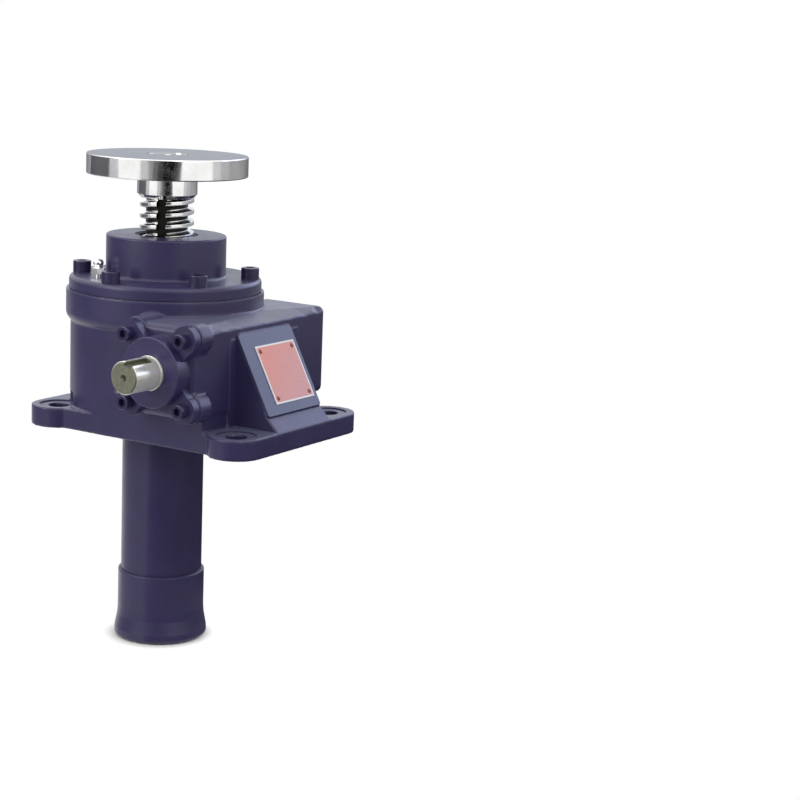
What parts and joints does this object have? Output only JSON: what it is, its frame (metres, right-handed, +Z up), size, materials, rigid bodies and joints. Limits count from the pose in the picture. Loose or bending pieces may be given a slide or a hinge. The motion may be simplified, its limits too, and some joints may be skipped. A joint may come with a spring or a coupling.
{
  "type": "worm screw jack",
  "caption": "Worm gear screw jack: cast case with ear base, keyed lifting screw through a nut wheel, round load plate, protective tube and one input shaft.",
  "frame": {"origin": "on the lifting screw's axis, at the underside of the tube cap that the jack stands on", "axes": "+Z up along the lifting screw, +X along the worm away from the input shaft end, -Y towards the nameplate"},
  "size_m": [0.2405, 0.244, 0.438],
  "materials": {
    "paint": "satin dark indigo enamel over casting",
    "bright_steel": "turned and polished",
    "bearing_steel": "ground",
    "bronze": "machined bronze",
    "rubber": "matt nitrile rubber",
    "nameplate": "printed aluminium, red with a white border"
  },
  "bodies": {
    "case": {"gear_case": "paint", "thrust_cover": "paint", "thrust_cover_screws": "paint", "grease_nipple": "bright_steel", "screw_wiper": "rubber", "guide_key": "bearing_steel", "protective_tube": "paint", "tube_cap": "paint", "nameplate": "nameplate", "nameplate_rivets": "nameplate", "bearing_cover": "paint", "bearing_cover_shim": "bearing_steel", "bearing_cover_screws": "paint", "shaft_seal": "rubber", "bearing_end_cap": "paint", "worm_bearing_cup_left": "bearing_steel", "worm_bearing_cup_right": "bearing_steel", "lower_housing_washer": "bearing_steel", "upper_housing_washer": "bearing_steel"},
    "worm": {"worm_shaft": "bright_steel", "worm_bearing_cone_left": "bearing_steel", "worm_bearing_cone_right": "bearing_steel", "worm_rollers_left": "bright_steel", "worm_rollers_right": "bright_steel"},
    "wheel": {"worm_wheel": "bronze", "lower_shaft_washer": "bearing_steel", "upper_shaft_washer": "bearing_steel", "lower_thrust_balls": "bright_steel", "upper_thrust_balls": "bright_steel", "lower_ball_cage": "bronze", "upper_ball_cage": "bronze"},
    "screw": {"lifting_screw": "bright_steel", "top_plate": "bright_steel", "plate_lock_screw": "bearing_steel", "stop_ring": "bearing_steel", "stop_ring_pin": "bearing_steel"}
  },
  "joints": [
    {"name": "worm_spin", "type": "hinge", "parent": "case", "child": "worm", "pos_m": [0, -0.0755, 0.2675], "axis": [1, 0, 0], "range_deg": [-25920, 129600]},
    {"name": "wheel_spin", "type": "hinge", "parent": "case", "child": "wheel", "pos_m": [0, 0, 0.2675], "axis": [0, 0, 1], "range_deg": [-5401, 1081]},
    {"name": "screw_lift", "type": "slide", "parent": "case", "child": "screw", "axis": [0, 0, 1], "range_m": [-0.0301, 0.1501]}
  ],
  "couplings": [
    {"joint": "wheel_spin", "follows": "worm_spin", "ratio": -0.041667},
    {"joint": "screw_lift", "follows": "worm_spin", "m_per_rad": 0.000066315}
  ]
}
